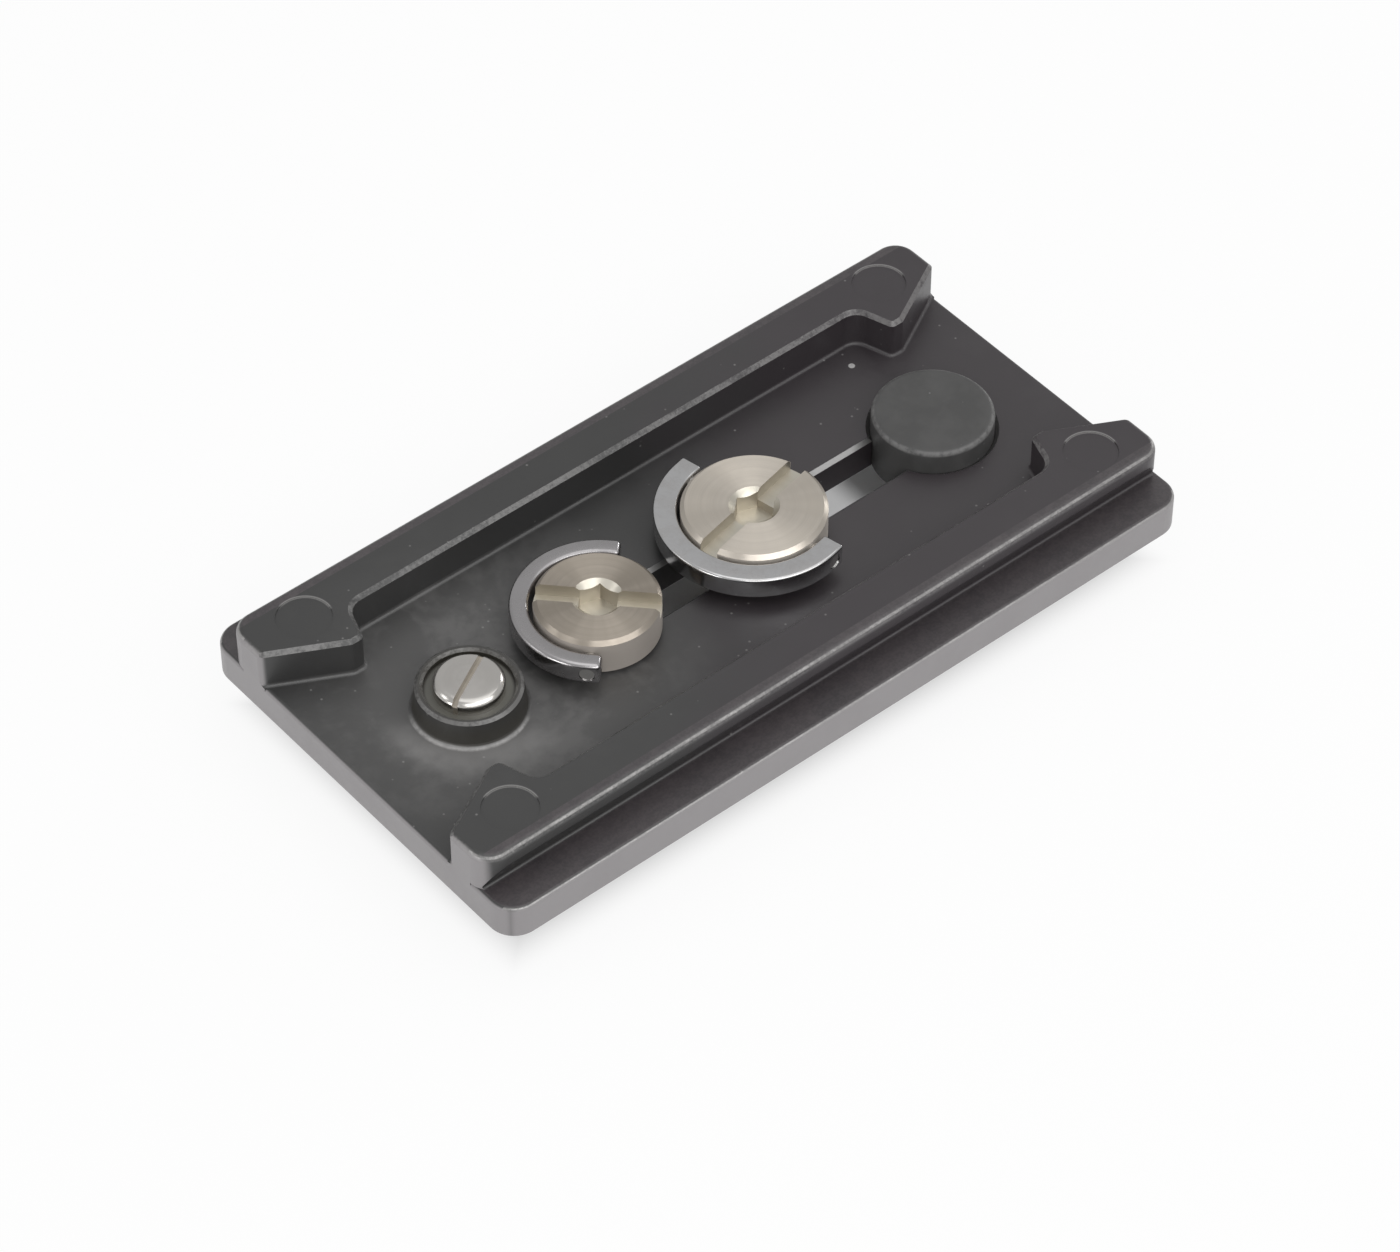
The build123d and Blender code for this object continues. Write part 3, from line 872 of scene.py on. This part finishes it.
threadLook = {
    "quarter": {"pitch": 1.27},
    "three_eighth": {"pitch": 1.5875},
    "depthShare": 0.6,
    "grooveTop": 1.25,
    "grooveSlope": 1.6,
    "turnSteps": 72,
    "pitchSteps": 12,
    "tipChamfer": 0.75,
    "tipBand": 1.0,
    "shankShare": 1 / 3,
    "slack": 0.02,
    "rimBand": 0.5,
    "rimSkin": 0.06,
    "rimTurn": (0.4, 0.9),
    "sunkDepth": 2.7,
    "sharpAngle": 28,
}


def threadLoops(form, axis, pitch, crest, shoulder, tip):
    # loops of points whose reach follows the helix
    depth = threadLook["depthShare"] * pitch
    steps = threadLook["turnSteps"]
    rows = math.ceil((shoulder - tip) / pitch * threadLook["pitchSteps"])
    loops = []
    for row in range(rows + 1):
        height = shoulder + (tip - shoulder) * row / rows
        limit = crest - max(0, threadLook["tipChamfer"] * mm - (height - tip))
        reaches = []
        for step in range(steps):
            phase = (height / pitch - step / steps) % 1
            groove = threadLook["grooveTop"] - abs(2 * phase - 1) * threadLook["grooveSlope"]
            reaches.append(min(limit, crest - depth * min(1, max(0, groove))))
        loops.append(turnedLoop(form, axis, height, reaches))
    return loops


def shankSizes(form, axis):
    # crest radius of the CAD's plain shank, and the heights of its shoulder and tip
    slack = threadLook["slack"] * mm
    reach = {vertex: (vertex.co - axis).xy.length for vertex in form.verts}
    tip = min(vertex.co.z for vertex in form.verts)
    tipTop = tip + threadLook["tipBand"] * mm
    crest = max(reach[vertex] for vertex in form.verts if vertex.co.z < tipTop)
    shank = [vertex for vertex in form.verts if vertex.co.z < tip * threadLook["shankShare"]]
    shoulder = max(vertex.co.z for vertex in shank if abs(reach[vertex] - crest) < slack)
    return crest, shoulder, tip


def cameraScrew(screw):
    node = screw + "_screw"
    axis = Vector(joints[screw + "_spin"]["pos_m"])
    form = weldedCopy(node)
    crest, shoulder, tip = shankSizes(form, axis)
    shankTop = shoulder + threadLook["slack"] * mm
    gone = [face for face in form.faces if all(vertex.co.z < shankTop for vertex in face.verts)]
    bmesh.ops.delete(form, geom=gone, context="FACES")
    pitch = threadLook[screw]["pitch"] * mm
    skin(form, threadLoops(form, axis, pitch, crest, shoulder, tip), closeFirst=False)
    # shoulder between the neck and the first turn
    openEdges = [edge for edge in form.edges if edge.is_boundary]
    bmesh.ops.triangle_fill(form, use_beauty=True, edges=openEdges)
    sharpAngle = threadLook["sharpAngle"]
    piece = finishMesh(form, screw + "_screw_threaded", screw, node, sharpAngle)
    low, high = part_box(node)
    rim = (high.y - low.y) / 2
    band, rimSkin = threadLook["rimBand"] * mm, threadLook["rimSkin"] * mm
    steepest, flattest = threadLook["rimTurn"]

    def isSunk(face):
        faceReach = (face.center - axis).xy.length
        square = not steepest < face.normal.z < flattest
        inside = faceReach < rim - band or (square and faceReach < rim - rimSkin)
        return inside and rimSkin < high.z - face.center.z < threadLook["sunkDepth"] * mm

    dressSunk(piece, "coinSlot", isSunk)
    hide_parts(node)


for screw in screwNames:
    cameraScrew(screw)
print("screws: 2 camera screws with cut threads")


# Stop screw: the CAD screw with a chamfered rim, a slight crown and a fine slot

stopLook = {
    "headHeight": 1.75,
    "shankRadius": 2.05,
    "rim": 0.5,
    "soft": 0.06,
    "crown": 0.07,
    "slotWide": 0.6,
    "slotDeep": 0.8,
    "slotAngle": 29.0,
    "slotSkin": 0.001,
    "topSkin": 0.05,
    "turnSteps": 96,
    "ringSteps": 8,
}


def stopOutline(radius, bearing):
    # reach and height of each loop, from the crown down to the tip
    look = stopLook
    rim, soft, crown = look["rim"] * mm, look["soft"] * mm, look["crown"] * mm
    edge, shank = stopHigh.z - crown, look["shankRadius"] * mm
    outline = []
    for step in range(look["ringSteps"]):
        share = (step + 1) / look["ringSteps"]
        outline.append(((radius - rim - soft) * share, stopHigh.z - crown * share ** 2))
    return outline + [
        (radius - rim + soft / 2, edge - soft / 2),
        (radius - soft / 2, edge - rim + soft / 2),
        (radius, edge - rim - soft),
        (radius, bearing),
        (shank, bearing),
        (shank, stopLow.z),
    ]


def stopScrew():
    look = stopLook
    axis = Vector(bossSpot) * mm
    radius = (stopHigh.x - stopLow.x) / 2
    bearing = stopHigh.z - look["headHeight"] * mm
    form = bmesh.new()
    loops = []
    for reach, height in stopOutline(radius, bearing):
        loops.append(turnedLoop(form, axis, height, [reach] * look["turnSteps"]))
    skin(form, loops)
    piece = finishMesh(form, "stop_screw_slotted", "stop", "plate")
    # the slot's cutter is longer than the head is wide, and half of it stands above the top
    middle = Matrix.Translation((axis.x, axis.y, stopHigh.z))
    turned = Matrix.Rotation(math.radians(look["slotAngle"]), 4, "Z")
    sized = Matrix.Diagonal((3 * radius, look["slotWide"] * mm, 2 * look["slotDeep"] * mm, 1))
    slot = bmesh.new()
    bmesh.ops.create_cube(slot, size=1, matrix=middle @ turned @ sized)
    carve(piece, slot)
    across = turned.to_3x3() @ Vector((0, 1, 0))
    halfWide = (look["slotWide"] / 2 + look["slotSkin"]) * mm
    slotTop = stopHigh.z - (look["crown"] + look["topSkin"]) * mm

    def isSunk(face):
        inSlot = abs((face.center - axis).dot(across)) < halfWide
        return inSlot and bearing < face.center.z < slotTop

    dressSunk(piece, "stopSlot", isSunk)
    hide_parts("stop_screw")


stopScrew()
print("stop: 1 slotted screw")


# Grip pads: the CAD strips with long ribs cut in

padLook = {"ribs": 9, "depth": 0.45, "halfWide": 0.34, "endMargin": 2.6, "over": 0.05}


def ribGrooves(low, high):
    depth, over = padLook["depth"] * mm, padLook["over"] * mm
    halfWide, margin = padLook["halfWide"] * mm, padLook["endMargin"] * mm
    grooves = bmesh.new()
    for rib in range(padLook["ribs"]):
        y = low.y + (high.y - low.y) * (rib + 1) / (padLook["ribs"] + 1)
        ends = []
        for x, inward in ((low.x + margin, depth), (high.x - margin, -depth)):
            ends.append([
                grooves.verts.new((x, y - halfWide, low.z - over)),
                grooves.verts.new((x, y + halfWide, low.z - over)),
                grooves.verts.new((x + inward, y, low.z + depth)),
            ])
        skin(grooves, ends)
    bmesh.ops.recalc_face_normals(grooves, faces=grooves.faces)
    return grooves


def gripPad(side):
    node = side + "_grip_pad"
    piece = finishMesh(weldedCopy(node), side + "_grip_pad_ribbed", "grip", "plate")
    carve(piece, ribGrooves(*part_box(node)))
    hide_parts(node)


for side in ("near", "far"):
    gripPad(side)
print("pads: 2 ribbed grip strips")


# CAD nodes that stay, with their finishes

nodeFinish = {
    "plate_body": "casting",
    "slot_plug": "plug",
    "quarter_washer": "nylon",
    "three_eighth_washer": "nylon",
    "quarter_pivot_pins": "pin",
    "three_eighth_pivot_pins": "pin",
}
for node, key in nodeFinish.items():
    giveMaterial(nodes[node], key)
print("finishes:", len(nodeFinish), "CAD nodes dressed")


# Floor: white to the camera and in reflections, and still takes the shadow

floorLook = {
    "size": 8.0,  # in metres, and the lengths below are in millimetres
    "gap": 0.02,
    "paint": grey(0.85),
    "white": grey(1.0),
    "glow": 0.9,
    "shade": 0.0,
    "shadeEdge": 9.0,
    "paintedGlow": 0.33,
    "paintedGlowFrom": (12.0, 16.0),
    "paintedGlowTo": (27.4, 23.4),
    "paintedGlowSide": (0.5, 8.0),
}


def floorShare(tree):
    # how much of the white shows: none in the plate's shade, and a painted pool of light under the open end
    # of the slot
    look = floorLook
    place = axesOf(tree, useGroup(tree, millimetres)["Place"])
    besideX = calc(tree, "SUBTRACT", calc(tree, "ABSOLUTE", place["X"]), plateHigh.x / mm)
    besideY = calc(tree, "SUBTRACT", calc(tree, "ABSOLUTE", place["Y"]), plateHigh.y / mm)
    beside = calc(tree, "MAXIMUM", besideX, besideY)
    openShare = spread(tree, beside, -look["shadeEdge"], 0.0, look["shade"], look["glow"])
    nearSide, farSide = look["paintedGlowSide"]
    paintedGlow = product(
        tree,
        spread(tree, place["X"], *look["paintedGlowFrom"], 0.0, look["paintedGlow"]),
        spread(tree, place["X"], *look["paintedGlowTo"]),
        calc(tree, "GREATER_THAN", place["Y"], nearSide),
        calc(tree, "LESS_THAN", place["Y"], farSide),
    )
    return calc(tree, "MAXIMUM", openShare, paintedGlow)


def floorMaterial():
    material = bpy.data.materials.new("white_floor")
    material.use_nodes = True
    tree = material.node_tree
    tree.nodes.clear()
    path = put(tree, "ShaderNodeLightPath").outputs
    seen = calc(tree, "MAXIMUM", path["Is Camera Ray"], path["Is Glossy Ray"])
    seen = calc(tree, "MAXIMUM", seen, path["Is Transmission Ray"])
    paint = put(tree, "ShaderNodeBsdfDiffuse", {"Color": floorLook["paint"]}).outputs[0]
    glow = put(tree, "ShaderNodeEmission", {"Color": floorLook["white"], "Strength": 1.0}).outputs[0]
    share = product(tree, seen, floorShare(tree))
    lit = put(tree, "ShaderNodeMixShader", {0: share, 1: paint, 2: glow}).outputs[0]
    clear = put(tree, "ShaderNodeBsdfTransparent").outputs[0]
    below = put(tree, "ShaderNodeNewGeometry").outputs["Backfacing"]
    both = put(tree, "ShaderNodeMixShader", {0: below, 1: lit, 2: clear}).outputs[0]
    put(tree, "ShaderNodeOutputMaterial", {"Surface": both})
    return material


def floorPlane():
    form = bmesh.new()
    drop = Matrix.Translation((0, 0, cadBounds[0].z - floorLook["gap"] * mm))
    bmesh.ops.create_grid(form, x_segments=1, y_segments=1, size=floorLook["size"] / 2, matrix=drop)
    mesh = bpy.data.meshes.new("floor")
    form.to_mesh(mesh)
    form.free()
    mesh.materials.append(floorMaterial())
    floor = bpy.data.objects.new("floor", mesh)
    bpy.context.scene.collection.objects.link(floor)


floorPlane()
print("floor: white, with the plate's shade")


# Light: an even room and soft boxes on five sides, with spots and sizes in metres

roomLook = {"colour": grey(0.52), "strength": 1.0}
lightLook = {
    "overhead": {"spot": (0.10, -0.15, 0.85), "size": (1.0, 1.0), "watts": 2.4},
    "front": {"spot": (-0.10, -0.75, 0.62), "size": (1.4, 0.42), "watts": 4.0},
    "right": {"spot": (0.90, 0.10, 0.24), "size": (0.16, 0.16), "watts": 0.7},
    "left": {"spot": (-0.90, -0.08, 0.20), "size": (0.34, 0.20), "watts": 1.0},
    "back": {"spot": (-0.70, 0.38, 0.45), "size": (0.22, 0.22), "watts": 0.4},
}


def studioRoom():
    world = bpy.data.worlds.new("studio")
    world.use_nodes = True
    backdrop = world.node_tree.nodes["Background"].inputs
    backdrop["Color"].default_value = roomLook["colour"]
    backdrop["Strength"].default_value = roomLook["strength"]
    bpy.context.scene.world = world


def softBox(name):
    look = lightLook[name]
    lamp = bpy.data.lights.new(name, "AREA")
    lamp.shape = "RECTANGLE"
    lamp.size, lamp.size_y = look["size"]
    lamp.energy = look["watts"]
    holder = bpy.data.objects.new(name, lamp)
    holder.location = look["spot"]
    holder.rotation_euler = (-Vector(look["spot"])).to_track_quat("-Z", "Y").to_euler()
    bpy.context.scene.collection.objects.link(holder)


studioRoom()
for name in lightLook:
    softBox(name)
print("light:", len(lightLook), "soft boxes and an even room")


# Camera at the photograph's angle, with places in millimetres

cameraLook = {
    "spot": (-244.7, -292.1, 393.0),
    "target": (-3.29, -3.38, -4.39),
    "lens": 134.3,
    "sensor": 36.0,
    "nearest": 10.0,
}


def photoCamera():
    look = cameraLook
    lensData = bpy.data.cameras.new("camera")
    lensData.lens = look["lens"]
    lensData.sensor_width = look["sensor"]
    lensData.sensor_fit = "HORIZONTAL"
    lensData.clip_start = look["nearest"] * mm
    camera = bpy.data.objects.new("camera", lensData)
    camera.location = Vector(look["spot"]) * mm
    aim = Vector(look["target"]) - Vector(look["spot"])
    camera.rotation_euler = aim.to_track_quat("-Z", "Y").to_euler()
    bpy.context.scene.collection.objects.link(camera)
    bpy.context.scene.camera = camera


photoCamera()
bpy.context.scene.view_settings.view_transform = "Standard"
print("camera: set at the photograph's angle")
